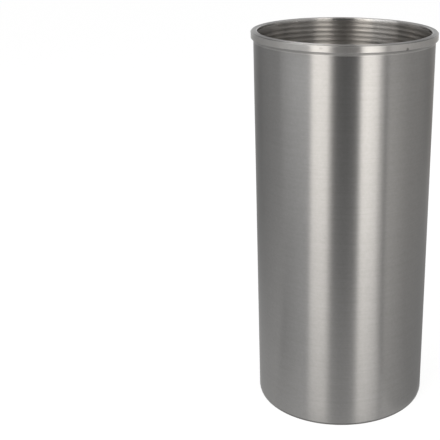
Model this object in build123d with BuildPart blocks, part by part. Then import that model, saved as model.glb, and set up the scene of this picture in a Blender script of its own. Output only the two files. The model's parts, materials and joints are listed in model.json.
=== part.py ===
"""Flanged dry cylinder liner: one turned sleeve of cast iron.

The liner stands on its lower end. The origin is on the bore's axis in the plane of the
lower end face, and +Z runs up the bore to the flange that hangs the liner in its block.
All sizes are in millimetres.
"""

import os
from math import radians, tan

from build123d import *

# Sleeve: the wall stands outside the bore
overall_length = 225.8
bore_diameter = 98.5
wall_thickness = 2.35

# Flange at the top: a plain band, and a cone under it that sits in the block's counterbore
flange_overhang = 1.4
band_height = 3.8
seat_cone_angle = 45.0  # slope of the cone away from the axis
rim_bevel = 0.6  # 45 degree bevel round the outside of the top face

# Grinding relief: the skin draws in under the flange, so that the wheel and the block's edge clear the corner
relief_height = 0.6
relief_depth = 0.1

# Bore ends: a slim flare that lets the piston rings in from above, an edge break below
flare_depth = 1.5
flare_widening = 0.2
skirt_bevel = 0.5

# Lower outside end: a slim pilot taper that starts the sleeve into the block
pilot_length = 1.2
pilot_narrowing = 0.35

# Radii and levels that follow from the sizes above
bore_radius = bore_diameter / 2
body_radius = bore_radius + wall_thickness
flange_radius = body_radius + flange_overhang
flare_foot = overall_length - flare_depth
seat_top = overall_length - band_height
relief_radius = body_radius - relief_depth
seat_foot = seat_top - (flange_radius - relief_radius) / tan(radians(seat_cone_angle))
relief_foot = seat_foot - relief_height

with BuildPart() as cylinder_liner:
    # The wall's section: up the outside from the foot, over the rim and back down the bore
    with BuildSketch(Plane.XZ) as wall_section:
        with BuildLine() as wall_outline:
            Polyline(
                (bore_radius, 0),
                (body_radius - pilot_narrowing, 0),
                (body_radius, pilot_length),
                (body_radius, relief_foot),
                (relief_radius, seat_foot),
                (flange_radius, seat_top),
                (flange_radius, overall_length),
                (bore_radius + flare_widening, overall_length),
                (bore_radius, flare_foot),
                close=True,
            )
        make_face()
    revolve(axis=Axis.Z)

    # The rim's outer edge is the largest circle at the top
    circles = cylinder_liner.edges().filter_by(GeomType.CIRCLE)
    rim_edge = circles.group_by(Axis.Z)[-1].sort_by(SortBy.RADIUS)[-1]
    chamfer(rim_edge, length=rim_bevel)

    # The skirt's inner edge is the smallest circle at the foot
    circles = cylinder_liner.edges().filter_by(GeomType.CIRCLE)
    skirt_edge = circles.group_by(Axis.Z)[0].sort_by(SortBy.RADIUS)[0]
    chamfer(skirt_edge, length=skirt_bevel)

cylinder_liner.part.label = "cylinder_liner"

os.makedirs("parts", exist_ok=True)
export_step(cylinder_liner.part, "parts/cylinder_liner.step")
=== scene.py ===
"""Studio look of a flanged dry cylinder liner.

The liner is one turned sleeve of cast iron. Its skin is ground up to the relief under the flange, its
flange and its ends are turned, and its bore keeps the spiral feed marks of the boring tool. Those marks,
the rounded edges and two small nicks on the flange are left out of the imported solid.

The frame gives the overall height and the radii. The smaller sizes of the wall's section are fields of
CylinderLiner, in millimetres. Everything that Blender holds is in metres, with the origin on the bore's
axis in the plane of the lower end.
"""

import json
import logging
import math
from dataclasses import dataclass, field
from enum import IntEnum
from typing import Iterator, Sequence

import bpy
from mathutils import Matrix, Vector


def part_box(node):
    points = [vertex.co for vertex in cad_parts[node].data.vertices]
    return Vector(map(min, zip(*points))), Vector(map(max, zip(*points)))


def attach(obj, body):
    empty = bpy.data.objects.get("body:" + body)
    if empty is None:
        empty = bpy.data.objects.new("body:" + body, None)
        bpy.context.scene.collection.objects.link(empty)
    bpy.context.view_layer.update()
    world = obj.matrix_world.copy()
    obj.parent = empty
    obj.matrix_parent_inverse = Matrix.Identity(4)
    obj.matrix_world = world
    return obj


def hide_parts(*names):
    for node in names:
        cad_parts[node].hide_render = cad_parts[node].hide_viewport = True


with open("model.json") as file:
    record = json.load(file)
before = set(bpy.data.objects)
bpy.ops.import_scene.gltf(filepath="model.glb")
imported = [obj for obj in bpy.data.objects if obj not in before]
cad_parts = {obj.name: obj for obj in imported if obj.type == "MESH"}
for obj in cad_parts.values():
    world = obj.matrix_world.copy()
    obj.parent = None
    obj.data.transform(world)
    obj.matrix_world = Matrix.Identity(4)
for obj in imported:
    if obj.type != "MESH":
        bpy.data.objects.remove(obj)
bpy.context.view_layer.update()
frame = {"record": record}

LOG = logging.getLogger("cylinder_liner")
MM = 0.001
PICTURE_SIDE = 440  # pixels along each side of the square picture
FULL_TURN = 2 * math.pi
PURE_WHITE = (1.0, 1.0, 1.0)
WARM = (1.0, 0.968, 0.925)


class Surface(IntEnum):
    """The machined surfaces of the liner, in the order of its material slots."""

    SKIN = 0
    FLANGE = 1
    FACE = 2
    BORE = 3
    EDGE = 4
    LEAD = 5
    PILOT_PAINTED_SHADE = 6
    SEAT = 7
    RELIEF = 8
    BEVEL = 9


@dataclass(frozen=True)
class Corner:
    """A corner of the wall's section, with the surface that leaves it.

    Attributes:
        radius: Distance from the axis in millimetres.
        height: Height above the lower end in millimetres.
        surface: The surface from this corner to the next one.
        edge_break: Radius of the rounded edge in millimetres, or 0 where the corner is too blunt for one.
        edge: The finish of the rounded edge.
    """

    radius: float
    height: float
    surface: Surface
    edge_break: float = 0.0
    edge: Surface = Surface.EDGE


@dataclass(frozen=True)
class Station:
    """One ring of the lathe.

    Attributes:
        radius: Distance from the axis in millimetres.
        height: Height above the lower end in millimetres.
        normal: The way its surface faces, away from the axis and up.
        surface: The surface that follows it.
    """

    radius: float
    height: float
    normal: tuple[float, float]
    surface: Surface


def unit(across: float, up: float) -> tuple[float, float]:
    """Scale a direction in the section's plane to length one.

    Args:
        across: Its part away from the axis.
        up: Its part along the axis.

    Returns:
        The direction at length one.
    """
    length = math.hypot(across, up)
    return across / length, up / length


def smooth_step(value: float) -> float:
    """Return an eased share from 0 to 1 for a value that runs from 0 to 1."""
    share = min(max(value, 0.0), 1.0)
    return share * share * (3 - 2 * share)


class Nodes:
    """Places and links the shader nodes of one material or world."""

    def __init__(self, tree: bpy.types.NodeTree) -> None:
        """Start from an empty node tree.

        Args:
            tree: The tree that the nodes go into.
        """
        self.tree = tree
        self.tree.nodes.clear()

    def add(
        self, kind: str, inputs: dict[str | int, object] | None = None, **settings: object
    ) -> bpy.types.Node:
        """Add one node.

        Args:
            kind: The node's type name without its ShaderNode prefix.
            inputs: For each input's name or number, a constant or the socket that feeds it.
            settings: The node's own properties.

        Returns:
            The new node.
        """
        node = self.tree.nodes.new("ShaderNode" + kind)
        for name, value in settings.items():
            setattr(node, name, value)
        for name, value in (inputs or {}).items():
            if isinstance(value, bpy.types.NodeSocket):
                self.tree.links.new(value, node.inputs[name])
            else:
                node.inputs[name].default_value = value
        return node

    def math(self, operation: str, *values: object) -> bpy.types.NodeSocket:
        """Add a math node on up to three numbers or sockets and return its result."""
        return self.add("Math", dict(enumerate(values)), operation=operation).outputs[0]

    def spread(
        self, value: bpy.types.NodeSocket, low: float, high: float, window: tuple[float, float]
    ) -> bpy.types.NodeSocket:
        """Map a value to a new range.

        Args:
            value: The socket to map.
            low: What the window's lower end becomes.
            high: What its upper end becomes.
            window: The part of the value's own range that is spread.

        Returns:
            The mapped value, held within the new range.
        """
        inputs = {"Value": value, "To Min": low, "To Max": high}
        inputs |= {"From Min": window[0], "From Max": window[1]}
        return self.add("MapRange", inputs).outputs[0]

    def noise(self, place: bpy.types.NodeSocket, detail: float, roughness: float) -> bpy.types.NodeSocket:
        """Return fractal noise of unit scale at a place that is already scaled."""
        inputs = {"Vector": place, "Scale": 1.0, "Detail": detail, "Roughness": roughness}
        return self.add("TexNoise", inputs).outputs["Fac"]


@dataclass(frozen=True)
class Nick:
    """A small nick that handling left in a finish.

    Attributes:
        bearing: Its bearing in degrees, from the camera's side and positive to the right.
        radius: Distance of the surface from the axis in millimetres.
        height: Height above the lower end in millimetres.
        width: Half its width in millimetres.
        tallness: Half its height in millimetres.
        shade: Share of the metal's tone that it takes away.
        rim: The reaches at which it starts to fade and is gone, where 1 is its plain outline.
    """

    bearing: float
    radius: float
    height: float
    width: float
    tallness: float
    shade: float
    rim: tuple[float, float] = (0.95, 1.6)

    def mask(self, nodes: Nodes, ragged: bpy.types.NodeSocket) -> bpy.types.NodeSocket:
        """Return how far the nick covers a place, from 0 outside it up to its shade in the middle.

        Args:
            nodes: The material's nodes.
            ragged: Noise that breaks up the nick's outline.

        Returns:
            The cover.
        """
        turn = math.radians(self.bearing)
        centre = (self.radius * MM * math.sin(turn), -self.radius * MM * math.cos(turn), self.height * MM)
        grow = (1 / (self.width * MM), 1 / (self.width * MM), 1 / (self.tallness * MM))
        where = nodes.add("TexCoord").outputs["Object"]
        away = nodes.add("VectorMath", {0: where, 1: centre}, operation="SUBTRACT").outputs[0]
        away = nodes.add("VectorMath", {0: away, 1: grow}, operation="MULTIPLY").outputs[0]
        reach = nodes.add("VectorMath", {0: away}, operation="LENGTH").outputs["Value"]
        return nodes.spread(nodes.math("ADD", reach, ragged), self.shade, 0.0, self.rim)


@dataclass(frozen=True)
class Grain:
    """How a cut surface mixes its tool lines with soft patches, all made of noise cells.

    Attributes:
        fine_along: Cells of the fine lines in each metre along them.
        broad_along: Cells of the broad lines in each metre along them.
        broad_step: Broad lines for each fine one.
        fine_share: Weight of the fine lines.
        broad_share: Weight of the broad lines.
        cloud_cells: Cells of the soft clouds in each metre.
        speckle_cells: Cells of the fine speckle in each metre.
        speckle_share: Weight of the speckle beside the clouds.
        line_share: Weight of all lines in the mix.
        patch_share: Weight of the clouds and the speckle in the mix.
        face_lean: How many lines a step outwards crosses, for each that a step upwards crosses.
        tone_window: The part of the mix over which the tone changes.
        rough_window: The part of the mix over which the roughness changes.
        nick_tone: The colour at the bottom of a nick.
    """

    fine_along: float = 90.0
    broad_along: float = 14.0
    broad_step: float = 0.22
    fine_share: float = 0.6
    broad_share: float = 0.4
    cloud_cells: float = 26.0
    speckle_cells: float = 600.0
    speckle_share: float = 2.2
    line_share: float = 0.45
    patch_share: float = 0.17
    face_lean: float = 0.6
    tone_window: tuple[float, float] = (0.35, 0.65)
    rough_window: tuple[float, float] = (0.3, 0.7)
    nick_tone: tuple[float, float, float, float] = (0.02, 0.02, 0.02, 1.0)


@dataclass(frozen=True)
class MetalFinish:
    """A finish cut into bare iron by a tool or wheel that ran round the axis.

    Attributes:
        name: The material's name.
        tone: Base colour, in linear light.
        tone_swing: Share by which fine lines and clouds darken or lighten the tone.
        roughness: Mean roughness.
        roughness_swing: How far the lines take the roughness to either side.
        along_the_lay: Anisotropy, the finish being smoother along the tool's lines than across them.
        lines_per_mm: How many tool lines cross one millimetre.
        line_depth: Depth of the lines in micrometres.
        metallic: Share that reflects as clean metal. The rest scatters, as on a torn or filmed surface.
        glancing: Tint of the reflection at a glancing angle.
        nicks: The nicks that reach this finish.
        nick_lines: How many times as deep as a tool line a nick is.
        grain: How its lines and patches mix.
    """

    name: str
    tone: tuple[float, float, float]
    tone_swing: float
    roughness: float
    roughness_swing: float
    along_the_lay: float
    lines_per_mm: float
    line_depth: float
    metallic: float = 1.0
    glancing: float = 1.0
    nicks: tuple[Nick, ...] = ()
    nick_lines: float = 20.0
    grain: Grain = Grain()

    def material(self) -> bpy.types.Material:
        """Build the finish as a procedural material.

        Returns:
            The material, ready for a slot.
        """
        material = bpy.data.materials.new(self.name)
        material.use_nodes = True
        nodes = Nodes(material.node_tree)
        grain = self.grain
        broad_per_mm = self.lines_per_mm * grain.broad_step
        fine = nodes.noise(self.lay_place(nodes, self.lines_per_mm, grain.fine_along), 3.0, 0.6)
        broad = nodes.noise(self.lay_place(nodes, broad_per_mm, grain.broad_along), 2.0, 0.55)
        cloud = nodes.noise(self.cloud_place(nodes, grain.cloud_cells), 3.0, 0.6)
        speckle = nodes.noise(self.cloud_place(nodes, grain.speckle_cells), 3.0, 0.6)
        broad_part = nodes.math("MULTIPLY", broad, grain.broad_share)
        lines = nodes.math("MULTIPLY_ADD", fine, grain.fine_share, broad_part)
        patches = nodes.math("MULTIPLY_ADD", speckle, grain.speckle_share, cloud)
        patch_part = nodes.math("MULTIPLY", patches, grain.patch_share)
        mix = nodes.math("MULTIPLY_ADD", lines, grain.line_share, patch_part)
        dark = tuple(part * (1 - self.tone_swing) for part in self.tone)
        light = tuple(part * (1 + self.tone_swing) for part in self.tone)
        colour = nodes.add(
            "Mix",
            {0: nodes.spread(mix, 0.0, 1.0, grain.tone_window), 6: (*dark, 1.0), 7: (*light, 1.0)},
            data_type="RGBA",
        )
        tone, height = colour.outputs[2], lines
        for nick in self.nicks:
            cover = nick.mask(nodes, speckle)
            darkened = nodes.add("Mix", {0: cover, 6: tone, 7: grain.nick_tone}, data_type="RGBA")
            tone = darkened.outputs[2]
            height = nodes.math("MULTIPLY_ADD", cover, -self.nick_lines, height)
        low, high = self.roughness - self.roughness_swing, self.roughness + self.roughness_swing
        relief = nodes.add("Bump", {"Height": height, "Distance": self.line_depth * 1e-6, "Strength": 1.0})
        tangent = nodes.add("Tangent", direction_type="RADIAL", axis="Z")
        shader = nodes.add(
            "BsdfPrincipled",
            {
                "Base Color": tone,
                "Metallic": self.metallic,
                "Roughness": nodes.spread(mix, low, high, grain.rough_window),
                "Specular Tint": (self.glancing, self.glancing, self.glancing, 1.0),
                "Anisotropic": self.along_the_lay,
                "Anisotropic Rotation": 0.25,
                "Tangent": tangent.outputs[0],
                "Normal": relief.outputs[0],
            },
        )
        nodes.add("OutputMaterial", {"Surface": shader.outputs[0]})
        return material

    def lay_place(self, nodes: Nodes, per_mm: float, along: float) -> bpy.types.NodeSocket:
        """Return a noise place that changes fast across the tool's lines and slowly along them.

        Args:
            nodes: The material's nodes.
            per_mm: Noise cells in each millimetre across the lines.
            along: Noise cells in each metre along the lines.

        Returns:
            The place as a vector.
        """
        where = nodes.add("TexCoord").outputs["Object"]
        parts = nodes.add("SeparateXYZ", {0: where}).outputs
        flat = nodes.add("CombineXYZ", {0: parts[0], 1: parts[1]}).outputs[0]
        radius = nodes.add("VectorMath", {0: flat}, operation="LENGTH").outputs["Value"]
        across = nodes.math("MULTIPLY_ADD", radius, self.grain.face_lean, parts[2])
        scaled = [nodes.math("MULTIPLY", part, along) for part in parts[:2]]
        scaled.append(nodes.math("MULTIPLY", across, per_mm / MM))
        return nodes.add("CombineXYZ", dict(enumerate(scaled))).outputs[0]

    def cloud_place(self, nodes: Nodes, per_metre: float) -> bpy.types.NodeSocket:
        """Return a noise place for soft clouds, with so many noise cells in each metre."""
        where = nodes.add("TexCoord").outputs["Object"]
        return nodes.add("VectorMath", {0: where, "Scale": per_metre}, operation="SCALE").outputs[0]


FLANGE_NICKS = (
    Nick(bearing=38.6, radius=53.0, height=222.3, width=1.05, tallness=1.05, shade=0.58),
    Nick(bearing=-13.3, radius=53.0, height=223.9, width=1.2, tallness=0.6, shade=0.2),
)

# Each row: name, tone, tone swing, roughness, its swing, anisotropy, lines in a millimetre, their depth
GROUND = MetalFinish("ground_skin", (0.268, 0.264, 0.259), 0.08, 0.35, 0.02, 1.0, 3.0, 0.9, glancing=0.8)
TURNED = MetalFinish("turned_flange", (0.3, 0.294, 0.286), 0.08, 0.32, 0.03, 1.0, 2.2, 1.5, metallic=0.87,
                     nicks=FLANGE_NICKS)
BEVELLED = MetalFinish("rim_bevel", (0.23, 0.225, 0.219), 0.06, 0.4, 0.03, 0.9, 2.2, 1.5)
SEATED = MetalFinish("seat_cone", (0.27, 0.265, 0.258), 0.06, 0.42, 0.03, 0.9, 2.2, 1.5, glancing=0.9,
                     nicks=FLANGE_NICKS)
RELIEF = MetalFinish("grinding_relief", (0.34, 0.334, 0.326), 0.06, 0.385, 0.03, 1.0, 2.2, 1.5,
                     metallic=0.93)
FACED = MetalFinish("faced_end", (0.31, 0.305, 0.298), 0.06, 0.43, 0.03, 1.0, 2.6, 1.5, glancing=0.8)
BORED = MetalFinish("bored_wall", (0.365, 0.349, 0.332), 0.10, 0.31, 0.04, 0.9, 2.4, 1.5)
# The rounded edges' lighter tone is partly rubbed bare metal and partly a painted highlight along the
# corners.
WORN_EDGE_HIGHLIGHT = MetalFinish("worn_edge", (0.38, 0.374, 0.366), 0.05, 0.36, 0.03, 0.8, 2.0, 0.5, metallic=0.93,
                   nicks=FLANGE_NICKS)
LEAD_IN = MetalFinish("lead_in_flare", (0.36, 0.353, 0.343), 0.06, 0.2, 0.03, 0.8, 2.4, 0.8)
# The pilot taper's dark tone is painted shade: it stands in for the floor's contact shadow that the
# downward-facing taper reflects.
PILOT_PAINTED_SHADE = MetalFinish("pilot_taper", (0.14, 0.137, 0.133), 0.08, 0.4, 0.03, 0.9, 2.4, 1.5)

FINISHES = {
    Surface.SKIN: GROUND,
    Surface.FLANGE: TURNED,
    Surface.FACE: FACED,
    Surface.BORE: BORED,
    Surface.EDGE: WORN_EDGE_HIGHLIGHT,
    Surface.LEAD: LEAD_IN,
    Surface.PILOT_PAINTED_SHADE: PILOT_PAINTED_SHADE,
    Surface.SEAT: SEATED,
    Surface.RELIEF: RELIEF,
    Surface.BEVEL: BEVELLED,
}


@dataclass
class MeshDraft:
    """A mesh while it is put together, in millimetres.

    Attributes:
        points: Its points.
        facings: The surface's normal at each point.
        faces: Each face's point numbers.
        surfaces: Each face's surface.
    """

    points: list[tuple[float, float, float]] = field(default_factory=list)
    facings: list[tuple[float, float, float]] = field(default_factory=list)
    faces: list[list[int]] = field(default_factory=list)
    surfaces: list[Surface] = field(default_factory=list)

    def point(self, radius: float, angle: float, height: float, facing: tuple[float, float]) -> int:
        """Add a point.

        Args:
            radius: Its distance from the axis.
            angle: Its angle round the axis.
            height: Its height.
            facing: The surface's normal there, away from the axis and up.

        Returns:
            The point's number.
        """
        across, along = math.cos(angle), math.sin(angle)
        self.points.append((radius * across, radius * along, height))
        self.facings.append((facing[0] * across, facing[0] * along, facing[1]))
        return len(self.points) - 1

    def face(self, corners: Sequence[int], surface: Surface) -> None:
        """Add a face between numbered points."""
        self.faces.append(list(corners))
        self.surfaces.append(surface)

    def make(self, name: str) -> bpy.types.Object:
        """Turn the draft into an object in metres.

        Args:
            name: The object's name.

        Returns:
            The object, linked into the scene.
        """
        mesh = bpy.data.meshes.new(name)
        mesh.from_pydata([Vector(p) * MM for p in self.points], [], self.faces)
        mesh.polygons.foreach_set("material_index", [int(s) for s in self.surfaces])
        mesh.polygons.foreach_set("use_smooth", [True] * len(self.faces))
        mesh.normals_split_custom_set_from_vertices([Vector(n).normalized() for n in self.facings])
        mesh.update()
        made = bpy.data.objects.new(name, mesh)
        bpy.context.scene.collection.objects.link(made)
        return made


@dataclass(frozen=True)
class FeedMarks:
    """The spiral scallops that the boring tool left down the whole bore.

    Attributes:
        feed: Advance of the tool in one turn, in millimetres.
        depth: Depth of a scallop between two ridges, in millimetres.
        plain_end: Plain height left at each end of the bore, in millimetres.
        fade: Turns over which the scallops deepen from each end.
        rows_per_turn: Mesh rows across one scallop.
        sway: Share by which the depth wanders, as a tool's does.
        sway_rates: Two rates at which it wanders, in radians for each turn.
        sway_start: Where the slower one starts, in radians.
    """

    feed: float = 2.85
    depth: float = 0.12
    plain_end: float = 0.15
    fade: float = 0.5
    rows_per_turn: int = 5
    sway: float = 0.18
    sway_rates: tuple[float, float] = (2.3, 0.71)
    sway_start: float = 1.0


@dataclass
class CylinderLiner:
    """The sleeve: sizes of the wall's section in millimetres, and the methods that build and dress it.

    Attributes:
        bore_radius: Radius of the bore.
        body_radius: Radius of the ground skin.
        flange_radius: Radius of the flange's band.
        length: Height of the whole liner.
        band_height: Height from the cone under the flange to the top.
        rim_bevel: Size of the 45 degree bevel round the top.
        relief_height: Height of the grinding relief under the flange.
        relief_depth: How far the relief draws in from the skin.
        flare_depth: Depth of the flare at the top of the bore.
        flare_widening: How much wider than the bore the flare is at the top.
        skirt_bevel: Size of the edge break at the foot of the bore.
        pilot_length: Height of the slim taper at the lower end.
        pilot_narrowing: How much the taper takes off the radius.
        edge_break: Radius of the worn edges.
        mouth_break: Radius of the edge round the mouth of the bore.
        seam: Bearing of the first mesh column, where the spiral starts and ends, in degrees.
        segments: Mesh columns round the axis.
        skin_bands: Mesh bands up the skin.
        arc_steps: Mesh steps round a worn edge.
    """

    bore_radius: float
    body_radius: float
    flange_radius: float
    length: float
    band_height: float = 3.8
    rim_bevel: float = 0.6
    relief_height: float = 0.6
    relief_depth: float = 0.1
    flare_depth: float = 1.5
    flare_widening: float = 0.2
    skirt_bevel: float = 0.5
    pilot_length: float = 1.2
    pilot_narrowing: float = 0.35
    edge_break: float = 0.12
    mouth_break: float = 0.35
    seam: float = 144.0
    segments: int = 192
    skin_bands: int = 24
    arc_steps: int = 3
    marks: FeedMarks = FeedMarks()

    @classmethod
    def from_frame(cls, node: str) -> "CylinderLiner":
        """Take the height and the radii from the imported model.

        Args:
            node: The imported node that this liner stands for.

        Returns:
            The liner with those sizes.
        """
        radii = {mount["name"]: mount["dims"].get("r_mm") for mount in frame["record"]["mounts"]}
        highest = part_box(node)[1]
        return cls(
            bore_radius=radii["piston_bore"],
            body_radius=radii["block_bore_fit"],
            flange_radius=radii["flange_rim"],
            length=highest[2] / MM,
        )

    def corners(self) -> list[Corner]:
        """Lay out the wall's section from its sizes.

        Returns:
            The section's corners from the foot of the bore, out and up, to the top of the bore.
        """
        seat_top = self.length - self.band_height
        relief_radius = self.body_radius - self.relief_depth
        seat_foot = seat_top - (self.flange_radius - relief_radius)
        pilot_radius = self.body_radius - self.pilot_narrowing
        return [
            Corner(self.bore_radius, self.skirt_bevel, Surface.FACE),
            Corner(self.bore_radius + self.skirt_bevel, 0.0, Surface.FACE, self.edge_break),
            # The pilot and the rounded edges at the foot take the pilot's finish with its painted shade.
            Corner(pilot_radius, 0.0, Surface.PILOT_PAINTED_SHADE, self.edge_break, Surface.PILOT_PAINTED_SHADE),
            Corner(self.body_radius, self.pilot_length, Surface.SKIN, self.edge_break, Surface.PILOT_PAINTED_SHADE),
            Corner(self.body_radius, seat_foot - self.relief_height, Surface.RELIEF),
            Corner(relief_radius, seat_foot, Surface.SEAT),
            Corner(self.flange_radius, seat_top, Surface.FLANGE, self.edge_break),
            Corner(self.flange_radius, self.length - self.rim_bevel, Surface.BEVEL, self.edge_break),
            Corner(self.flange_radius - self.rim_bevel, self.length, Surface.FACE, self.edge_break),
            Corner(self.bore_radius + self.flare_widening, self.length, Surface.LEAD, self.mouth_break),
            Corner(self.bore_radius, self.length - self.flare_depth, Surface.BORE),
        ]

    def stations(self) -> Iterator[Station]:
        """Walk the section, rounding each corner that has an edge break.

        Yields:
            The lathe's rings in order.
        """
        corners = self.corners()
        ways = [unit(b.radius - a.radius, b.height - a.height) for a, b in zip(corners, corners[1:])]
        ways = [ways[0], *ways, (0.0, -1.0)]
        for corner, before, after in zip(corners, ways, ways[1:]):
            crossed = before[0] * after[1] - before[1] * after[0]
            turn = math.atan2(crossed, before[0] * after[0] + before[1] * after[1])
            if not corner.edge_break:
                facing = unit(before[1] + after[1], -before[0] - after[0])
                yield Station(corner.radius, corner.height, facing, corner.surface)
                continue
            reach = corner.edge_break * math.tan(abs(turn) / 2)
            start = Vector((corner.radius, corner.height)) - reach * Vector(before)
            side = math.copysign(1.0, turn)
            facing = Vector((before[1], -before[0]))
            centre = start - side * corner.edge_break * facing
            for step in range(self.arc_steps + 1):
                turned = facing @ Matrix.Rotation(-turn * step / self.arc_steps, 2)
                spot = centre + side * corner.edge_break * turned
                surface = corner.surface if step == self.arc_steps else corner.edge
                yield Station(spot[0], spot[1], (turned[0], turned[1]), surface)

    def lathe(self, draft: MeshDraft) -> tuple[list[int], list[int]]:
        """Turn the section into rings of faces, from the foot of the bore round the outside to its top.

        Args:
            draft: The mesh that the rings go into.

        Returns:
            The first and the last ring's point numbers.
        """
        rings = []
        surfaces = []
        previous = None
        for station in self.stations():
            for share in self.bands_to(previous, station):
                radius = previous.radius + share * (station.radius - previous.radius)
                height = previous.height + share * (station.height - previous.height)
                rings.append(self.ring(draft, radius, height, station.normal))
                surfaces.append(previous.surface)
            rings.append(self.ring(draft, station.radius, station.height, station.normal))
            surfaces.append(station.surface)
            previous = station
        for lower, upper, surface in zip(rings, rings[1:], surfaces):
            for i in range(self.segments):
                j = (i + 1) % self.segments
                draft.face((lower[i], lower[j], upper[j], upper[i]), surface)
        return rings[0], rings[-1]

    def bands_to(self, previous: Station | None, station: Station) -> list[float]:
        """Divide the long skin between two stations, and leave other surfaces whole.

        Args:
            previous: The station before, or none at the start.
            station: The station after. Not used.

        Returns:
            Where the skin is divided, as shares of the way.
        """
        if previous is None or previous.surface is not Surface.SKIN:
            return []
        return [band / self.skin_bands for band in range(1, self.skin_bands)]

    def ring(
        self, draft: MeshDraft, radius: float, height: float, facing: tuple[float, float]
    ) -> list[int]:
        """Add a ring of points and return their numbers."""
        return [draft.point(radius, self.bearing(i), height, facing) for i in range(self.segments)]

    def bearing(self, column: int) -> float:
        """Return the angle of a mesh column round the axis, in radians."""
        return math.radians(self.seam) + FULL_TURN * column / self.segments

    def bore(self, draft: MeshDraft, foot: list[int], top: list[int]) -> None:
        """Close the bore with rows that climb with the tool's spiral.

        One turn later, a row is the row that lies one feed above it, so the columns meet without a step.

        Args:
            draft: The mesh that the rows go into.
            foot: The ring at the foot of the bore.
            top: The ring at the top of the bore.
        """
        marks = self.marks
        low = self.skirt_bevel + marks.plain_end
        high = self.length - self.flare_depth - marks.plain_end
        turns = round((high - low) / marks.feed)
        feed = (high - low) / turns
        per_turn = marks.rows_per_turn
        rows = per_turn * (turns - 1)
        columns = []
        for i in range(self.segments):
            count = rows + 1 + (per_turn if i == 0 else 0)
            columns.append([self.mark(draft, i, row, low, feed, turns) for row in range(count)])
        columns.append(columns[0][per_turn:])
        for i, (here, there) in enumerate(zip(columns, columns[1:])):
            for row in range(rows):
                draft.face((here[row], here[row + 1], there[row + 1], there[row]), Surface.BORE)
            j = (i + 1) % self.segments
            foot_seam = columns[0][per_turn - 1::-1] if j == 0 else []
            top_seam = columns[0][rows + 1:] if i == 0 else []
            draft.face((foot[i], here[0], there[0], *foot_seam, foot[j]), Surface.BORE)
            draft.face((here[rows], *top_seam, top[i], top[j], there[rows]), Surface.BORE)

    def mark(self, draft: MeshDraft, column: int, row: int, low: float, feed: float, turns: int) -> int:
        """Add one point of the spiral scallops.

        Args:
            draft: The mesh that the point goes into.
            column: Its column round the axis.
            row: Its row up the bore, at the first column.
            low: Height at which the spiral starts.
            feed: Advance in one turn.
            turns: How many turns the spiral has.

        Returns:
            The point's number.
        """
        marks = self.marks
        turn = row / marks.rows_per_turn + column / self.segments
        phase = (row % marks.rows_per_turn) / marks.rows_per_turn
        swell = smooth_step(turn / marks.fade) * smooth_step((turns - turn) / marks.fade)
        quick, slow = marks.sway_rates
        sway = 1.0 + marks.sway * math.sin(quick * turn) * math.sin(slow * turn + marks.sway_start)
        depth = marks.depth * swell * sway
        slope = 0.0 if phase == 0.0 else 4 * depth * (1 - 2 * phase) / feed
        radius = self.bore_radius + 4 * depth * phase * (1 - phase)
        return draft.point(radius, self.bearing(column), low + feed * turn, unit(-1.0, slope))

    def build(self, node: str) -> bpy.types.Object:
        """Build the sleeve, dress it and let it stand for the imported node.

        Args:
            node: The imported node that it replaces.

        Returns:
            The finished piece.
        """
        draft = MeshDraft()
        foot, top = self.lathe(draft)
        self.bore(draft, foot, top)
        piece = draft.make("liner_sleeve")
        for surface in Surface:
            piece.data.materials.append(FINISHES[surface].material())
        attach(piece, "root")
        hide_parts(node)
        return piece


@dataclass(frozen=True)
class Panel:
    """An upright studio panel that stands round the liner and shows only in its reflections.

    Attributes:
        name: The panel's name.
        start: Bearing of one side in degrees, from the camera's side and positive to the right.
        end: Bearing of its other side.
        light: Strength at each of the two sides, where 1 is white.
        distance: Distance from the axis in metres.
        foot: Height of its lower edge in metres.
        top: Height of its upper edge in metres.
        tint: Colour of its light.
    """

    name: str
    start: float
    end: float
    light: tuple[float, float]
    distance: float = 0.55
    foot: float = 0.0
    top: float = 0.24
    tint: tuple[float, float, float] = PURE_WHITE

    def build(self) -> bpy.types.Object:
        """Build the panel as one flat sheet that faces the axis, with its light eased from side to side.

        Returns:
            The panel.
        """
        sides = [math.radians(self.start), math.radians(self.end)]
        ends = [(self.distance * math.sin(a), -self.distance * math.cos(a)) for a in sides]
        points = [(*ends[0], self.foot), (*ends[1], self.foot), (*ends[1], self.top), (*ends[0], self.top)]
        return glowing_sheet(self.name, points, self.light, self.tint)


@dataclass(frozen=True)
class Mat:
    """A wedge of grey mat on the floor beside the liner, which shows only in its reflections.

    Attributes:
        name: The mat's name.
        start: Bearing of one side in degrees, from the camera's side and positive to the right.
        end: Bearing of its other side.
        light: Strength at each of the two sides, where 1 is white.
        near: Distance of its near edge from the axis in metres.
        far: Distance of its far edge.
        height: Height above the floor in metres.
    """

    name: str
    start: float
    end: float
    light: tuple[float, float]
    near: float
    far: float = 0.5
    height: float = 0.001

    def build(self) -> bpy.types.Object:
        """Build the mat as one flat sheet.

        Returns:
            The mat.
        """
        bearings = [math.radians(self.start), math.radians(self.end)]
        first, last = [(math.sin(a), -math.cos(a)) for a in bearings]
        places = [(first, self.near), (last, self.near), (last, self.far), (first, self.far)]
        points = [(way[0] * out, way[1] * out, self.height) for way, out in places]
        return glowing_sheet(self.name, points, self.light, PURE_WHITE)


@dataclass(frozen=True)
class Ceiling:
    """A level sheet overhead, which shows only in the liner's reflections.

    Attributes:
        name: The sheet's name.
        left: Its left side, in metres to the right of the axis.
        right: Its right side.
        light: Strength at each of the two sides, where 1 is white.
        reach: How far it reaches behind the axis and in front of it.
        height: Its height above the floor.
    """

    name: str
    left: float
    right: float
    light: tuple[float, float]
    reach: float
    height: float

    def build(self) -> bpy.types.Object:
        """Build the ceiling as one flat sheet.

        Returns:
            The ceiling.
        """
        near, far = -self.reach, self.reach
        places = [(self.left, near), (self.right, near), (self.right, far), (self.left, far)]
        points = [(across, along, self.height) for across, along in places]
        return glowing_sheet(self.name, points, self.light, PURE_WHITE)


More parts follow.
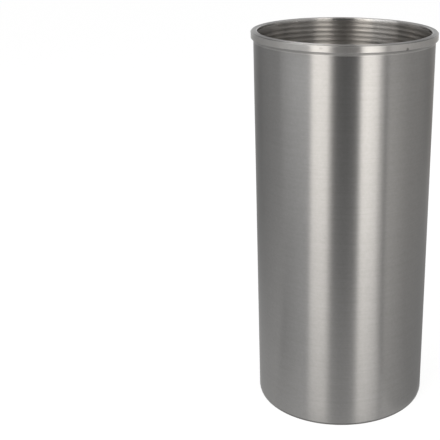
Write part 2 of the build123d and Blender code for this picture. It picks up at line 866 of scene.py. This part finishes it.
def glowing_sheet(
    name: str,
    points: Sequence[tuple[float, float, float]],
    light: tuple[float, float],
    tint: tuple[float, float, float],
) -> bpy.types.Object:
    """Build a flat stage sheet that glows and shows only in reflections.

    Args:
        name: The sheet's name.
        points: Its four corners, the first two along its lower side.
        light: Strength at its first side and at its second, where 1 is white.
        tint: Colour of its light.

    Returns:
        The sheet.
    """
    mesh = bpy.data.meshes.new(name)
    mesh.from_pydata(points, [], [(0, 1, 2, 3)])
    share = mesh.uv_layers.new(name="share")
    share.data.foreach_set("uv", [0.0, 0.0, 1.0, 0.0, 1.0, 1.0, 0.0, 1.0])
    sheet = bpy.data.objects.new(name, mesh)
    bpy.context.scene.collection.objects.link(sheet)
    material = bpy.data.materials.new(name)
    material.use_nodes = True
    nodes = Nodes(material.node_tree)
    across = nodes.add("SeparateXYZ", {0: nodes.add("UVMap", uv_map="share").outputs[0]}).outputs[0]
    strength = nodes.spread(across, light[0], light[1], (0.0, 1.0))
    glow = nodes.add("Emission", {"Color": (*tint, 1.0), "Strength": strength})
    nodes.add("OutputMaterial", {"Surface": glow.outputs[0]})
    mesh.materials.append(material)
    sheet.visible_camera = False
    sheet.visible_shadow = False
    # Only a sheet that is brighter than white lights the floor and the liner
    sheet.visible_diffuse = max(light) > 1.0
    return sheet


@dataclass(frozen=True)
class Viewpoint:
    """The camera: where it stands, which way it looks, and how its picture is framed.

    Attributes:
        back: Distance in front of the axis in metres.
        height: Height above the floor in metres.
        look_down: Downward pitch in degrees.
        look_right: Turn to the right in degrees.
        lean: Roll about the line of sight in degrees, positive anticlockwise as the camera sees it.
        focal: Focal length in pixels.
        centre: Where the line of sight meets the picture, in pixels from its upper left corner.
    """

    back: float = 0.51023
    height: float = 0.30222
    look_down: float = 19.6416
    look_right: float = -0.2939
    lean: float = 0.6938
    focal: float = 896.47
    centre: tuple[float, float] = (337.954, 206.101)

    def build(self) -> bpy.types.Object:
        """Build the camera and make it the scene's own.

        Returns:
            The camera.
        """
        data = bpy.data.cameras.new("camera")
        data.sensor_width = 36.0
        data.lens = self.focal * data.sensor_width / PICTURE_SIDE
        data.shift_x = 0.5 - self.centre[0] / PICTURE_SIDE
        data.shift_y = self.centre[1] / PICTURE_SIDE - 0.5
        camera = bpy.data.objects.new("camera", data)
        aim = Matrix.Rotation(math.radians(-self.look_right), 4, "Z")
        pitch = Matrix.Rotation(math.radians(90.0 - self.look_down), 4, "X")
        roll = Matrix.Rotation(math.radians(self.lean), 4, "Z")
        camera.matrix_world = Matrix.Translation((0.0, -self.back, self.height)) @ aim @ pitch @ roll
        bpy.context.scene.collection.objects.link(camera)
        bpy.context.scene.camera = camera
        return camera


@dataclass
class Studio:
    """A pale floor under a white surround, with panels round the liner that its metal reflects.

    Attributes:
        floor_half: Half the floor's width in metres.
        floor_share: How far the floor shows plain white, over the light that falls on it.
        floor_tone: How light the floor is under the light that falls on it.
        panels: The upright panels, mats and ceilings.
    """

    floor_half: float = 12.0
    floor_share: float = 0.85
    floor_tone: float = 0.95
    panels: tuple[Panel | Mat | Ceiling, ...] = (
        Panel("dark_panel", -13.0, 17.5, (0.19, 0.19), distance=0.34, top=1.3),
        Panel("soft_edge_left", -18.0, -12.0, (2.2, 0.8), distance=0.42, foot=0.05, top=1.3, tint=WARM),
        Panel("soft_gap_left", -30.0, -12.0, (0.9, 0.6), distance=0.4, foot=0.26, top=0.34, tint=WARM),
        Panel("soft_panel_left", -38.5, -18.0, (3.9, 4.2), distance=0.42, foot=0.05, top=0.36, tint=WARM),
        Panel("soft_top_left", -38.5, -18.0, (5.0, 5.4), distance=0.42, foot=0.36, top=1.3, tint=WARM),
        Panel("side_panel_left", -88.0, -38.0, (0.6, 0.75)),
        Panel("grey_panel_left", -125.0, -88.0, (0.25, 0.6)),
        Panel("back_panel_left", -162.0, -125.0, (0.7, 0.25)),
        Panel("soft_panel_right", 20.0, 41.5, (4.8, 4.4), distance=0.42, foot=0.05, top=0.25, tint=WARM),
        Panel("soft_gap_right", 18.0, 41.5, (0.9, 0.9), distance=0.42, foot=0.25, top=0.36, tint=WARM),
        Panel("soft_top_right", 23.0, 44.5, (6.5, 5.5), distance=0.42, foot=0.36, top=1.3, tint=WARM),
        Panel("soft_edge_right", 40.5, 48.5, (3.0, 2.2), tint=WARM),
        Panel("dark_edge_right", 48.5, 54.0, (0.6, 0.6), tint=WARM),
        Panel("side_panel_right", 54.0, 88.0, (1.8, 0.75), tint=WARM),
        Panel("grey_panel_right", 88.0, 125.0, (0.75, 0.35), tint=WARM),
        Panel("back_panel_right", 125.0, 162.0, (0.35, 0.7), tint=WARM),
        Panel("high_panel_left", -80.0, -38.0, (2.5, 5.0), distance=0.42, foot=0.25, top=0.32),
        Panel("high_grey_left", -162.0, -80.0, (0.5, 0.45), foot=0.35, top=0.6),
        Panel("high_grey_side", -80.0, -38.5, (0.3, 0.4), foot=0.35, top=0.6),
        Panel("high_side_right", 44.0, 80.0, (0.5, 0.3), foot=0.35, top=0.6),
        Panel("high_grey_right", 80.0, 162.0, (0.45, 0.5), foot=0.35, top=0.6),
        Panel("back_strip", 168.0, 192.0, (2.6, 2.6), top=0.22, tint=WARM),
        Mat("mat_left", -150.0, -75.0, (0.55, 0.7), near=0.3),
        Mat("mat_left_front", -75.0, -38.0, (0.7, 0.8), near=0.12),
        Mat("mat_right_front", 44.0, 85.0, (0.75, 0.6), near=0.056),
        Mat("mat_right_back", 85.0, 172.0, (0.65, 0.65), near=0.056),
        Ceiling("grey_ceiling", -0.3, 0.3, (0.5, 0.5), reach=0.3, height=0.8),
        Ceiling("high_panel", -0.42, -0.13, (5.0, 5.0), reach=0.1, height=0.7),
    )

    def build(self) -> None:
        """Build the surround, the floor and the panels."""
        self.surround()
        self.floor()
        for panel in self.panels:
            panel.build()

    def surround(self) -> None:
        """Make the world plain white for every ray."""
        world = bpy.data.worlds.new("surround")
        world.use_nodes = True
        nodes = Nodes(world.node_tree)
        white = nodes.add("Background", {"Color": (*PURE_WHITE, 1.0), "Strength": 1.0})
        nodes.add("OutputWorld", {"Surface": white.outputs[0]})
        bpy.context.scene.world = world

    def floor(self) -> bpy.types.Object:
        """Lay a pale floor that shows white, with the liner's shadow faint on it.

        Returns:
            The floor.
        """
        half = self.floor_half
        mesh = bpy.data.meshes.new("floor")
        points = [(-half, -half, 0), (half, -half, 0), (half, half, 0), (-half, half, 0)]
        mesh.from_pydata(points, [], [(0, 1, 2, 3)])
        floor = bpy.data.objects.new("floor", mesh)
        bpy.context.scene.collection.objects.link(floor)
        material = bpy.data.materials.new("pale_floor")
        material.use_nodes = True
        nodes = Nodes(material.node_tree)
        ray = nodes.add("LightPath").outputs
        seen = nodes.math("MAXIMUM", ray["Is Camera Ray"], ray["Is Glossy Ray"])
        seen = nodes.math("MAXIMUM", seen, ray["Is Transmission Ray"])
        share = nodes.math("MULTIPLY", seen, self.floor_share)
        lit = nodes.add("BsdfDiffuse", {"Color": (self.floor_tone, self.floor_tone, self.floor_tone, 1.0)})
        white = nodes.add("Emission", {"Color": (*PURE_WHITE, 1.0), "Strength": 1.0})
        both = nodes.add("MixShader", {0: share, 1: lit.outputs[0], 2: white.outputs[0]})
        nodes.add("OutputMaterial", {"Surface": both.outputs[0]})
        mesh.materials.append(material)
        return floor


def main() -> None:
    """Build the camera, the studio and the liner, in that order, and report each."""
    logging.basicConfig(level=logging.INFO, format="%(name)s: %(message)s")
    bpy.context.scene.view_settings.view_transform = "Standard"
    Viewpoint().build()
    LOG.info("camera set")
    Studio().build()
    LOG.info("studio set")
    piece = CylinderLiner.from_frame("cylinder_liner").build("cylinder_liner")
    LOG.info("%s: %d points, %d faces", piece.name, len(piece.data.vertices), len(piece.data.polygons))


if __name__ == "__main__":
    main()
